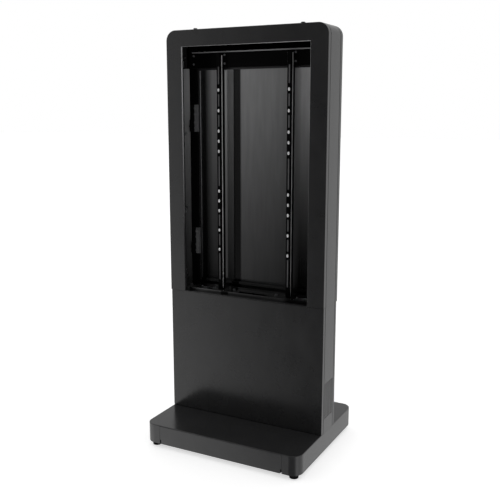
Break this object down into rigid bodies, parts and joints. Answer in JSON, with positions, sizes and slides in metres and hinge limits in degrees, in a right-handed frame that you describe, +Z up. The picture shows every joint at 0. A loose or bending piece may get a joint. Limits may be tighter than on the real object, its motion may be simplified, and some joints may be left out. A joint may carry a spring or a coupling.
{
  "type": "touchscreen kiosk enclosure",
  "caption": "Free-standing portrait kiosk enclosure: arched head with display opening, hinged doors and mounting rails, vented column and wide plinth.",
  "frame": {"origin": "on the floor, under the middle of the kiosk", "axes": "+Z up, the display opening faces -Y, +X to the right of a person facing it"},
  "size_m": [0.854, 0.7, 2.0695],
  "materials": {
    "outer_paint": "satin black powder coat",
    "inner_paint": "gloss black",
    "zinc_steel": "zinc plated",
    "black_steel": "black oxide",
    "lock_chrome": "bright",
    "black_plastic": "moulded",
    "black_rubber": "matt",
    "pin_brass": "bright"
  },
  "bodies": {
    "cabinet": {"base_cover": "outer_paint", "base_cover_screws": "zinc_steel", "base_front_cover": "outer_paint", "base_plate": "inner_paint", "base_ribs": "inner_paint", "base_spine": "inner_paint", "column_bolts": "zinc_steel", "column_bottom_plate": "inner_paint", "column_front_cover": "outer_paint", "column_rear_frame": "outer_paint", "column_side_left": "outer_paint", "column_side_right": "outer_paint", "column_top_plate": "inner_paint", "cover_screws": "zinc_steel", "cover_spacers": "black_plastic", "door_gaskets": "black_rubber", "equipment_shelf": "inner_paint", "fan_guards": "zinc_steel", "fan_housings": "black_plastic", "fan_screws": "zinc_steel", "front_hinge_cabinet_leaves": "zinc_steel", "head_bolts": "zinc_steel", "head_bottom_plate": "inner_paint", "head_post_left": "inner_paint", "head_post_right": "inner_paint", "head_rear_frame": "outer_paint", "head_shell": "outer_paint", "hinge_backing_plates": "inner_paint", "hinge_pins": "zinc_steel", "lifting_bolts": "black_steel", "mount_rail_left": "inner_paint", "mount_rail_right": "inner_paint", "power_inlet": "black_plastic", "power_inlet_pins": "pin_brass", "rail_bolts": "zinc_steel", "rear_hinge_frame_leaves": "black_steel", "socket_strip": "black_plastic", "top_beam": "inner_paint"},
    "front_door": {"front_door_frame": "outer_paint", "front_hinge_door_leaves": "zinc_steel", "front_latch_keepers": "zinc_steel", "panel_clamps": "zinc_steel"},
    "rear_door": {"rear_door_panel": "outer_paint", "rear_door_hinge_leaves": "black_steel", "rear_lock_barrels": "lock_chrome"},
    "service_door": {"service_door_panel": "outer_paint", "service_door_hinge_leaves": "black_steel", "service_lock_barrel": "lock_chrome"},
    "rear_lock_upper": {"rear_lock_cam_upper": "lock_chrome"},
    "rear_lock_lower": {"rear_lock_cam_lower": "lock_chrome"},
    "service_lock": {"service_lock_cam": "lock_chrome"},
    "latch_upper": {"front_latch_upper": "lock_chrome"},
    "latch_lower": {"front_latch_lower": "lock_chrome"},
    "foot_fl": {"foot_front_left": "black_rubber"},
    "foot_fr": {"foot_front_right": "black_rubber"},
    "foot_rl": {"foot_rear_left": "black_rubber"},
    "foot_rr": {"foot_rear_right": "black_rubber"},
    "fan_left": {"fan_rotor_left": "black_plastic"},
    "fan_right": {"fan_rotor_right": "black_plastic"},
    "rocker": {"power_switch": "black_plastic"}
  },
  "joints": [
    {"name": "front_door_hinge", "type": "hinge", "parent": "cabinet", "child": "front_door", "pos_m": [-0.422, -0.0645, 1.4], "axis": [0, 0, -1], "range_deg": [0, 100]},
    {"name": "rear_door_hinge", "type": "hinge", "parent": "cabinet", "child": "rear_door", "pos_m": [-0.3365, 0.0922, 1.321], "axis": [0, 0, 1], "range_deg": [0, 165]},
    {"name": "service_door_hinge", "type": "hinge", "parent": "cabinet", "child": "service_door", "pos_m": [-0.2985, 0.0852, 0.45], "axis": [0, 0, 1], "range_deg": [0, 165]},
    {"name": "rear_lock_upper_turn", "type": "hinge", "parent": "rear_door", "child": "rear_lock_upper", "pos_m": [0.31, 0.06, 1.6], "axis": [0, 1, 0], "range_deg": [0, 90]},
    {"name": "rear_lock_lower_turn", "type": "hinge", "parent": "rear_door", "child": "rear_lock_lower", "pos_m": [0.31, 0.06, 1.08], "axis": [0, 1, 0], "range_deg": [0, 90]},
    {"name": "service_lock_turn", "type": "hinge", "parent": "service_door", "child": "service_lock", "pos_m": [0.272, 0.06, 0.45], "axis": [0, 1, 0], "range_deg": [0, 90]},
    {"name": "latch_upper_turn", "type": "hinge", "parent": "cabinet", "child": "latch_upper", "pos_m": [0.402, -0.055, 1.7], "axis": [0, 1, 0], "range_deg": [0, 90]},
    {"name": "latch_lower_turn", "type": "hinge", "parent": "cabinet", "child": "latch_lower", "pos_m": [0.402, -0.055, 1.05], "axis": [0, 1, 0], "range_deg": [0, 90]},
    {"name": "fan_left_spin", "type": "hinge", "parent": "cabinet", "child": "fan_left", "pos_m": [-0.275, 0, 0.745], "axis": [0, 0, 1], "continuous": true},
    {"name": "fan_right_spin", "type": "hinge", "parent": "cabinet", "child": "fan_right", "pos_m": [0.275, 0, 0.745], "axis": [0, 0, 1], "continuous": true},
    {"name": "power_switch_rock", "type": "hinge", "parent": "cabinet", "child": "rocker", "pos_m": [-0.276, 0.077, 0.155], "axis": [1, 0, 0], "range_deg": [0, 16]},
    {"name": "foot_front_left_screw", "type": "slide", "parent": "cabinet", "child": "foot_fl", "axis": [0, 0, -1], "range_m": [0, 0.015]},
    {"name": "foot_front_right_screw", "type": "slide", "parent": "cabinet", "child": "foot_fr", "axis": [0, 0, -1], "range_m": [0, 0.015]},
    {"name": "foot_rear_left_screw", "type": "slide", "parent": "cabinet", "child": "foot_rl", "axis": [0, 0, -1], "range_m": [0, 0.015]},
    {"name": "foot_rear_right_screw", "type": "slide", "parent": "cabinet", "child": "foot_rr", "axis": [0, 0, -1], "range_m": [0, 0.015]}
  ]
}
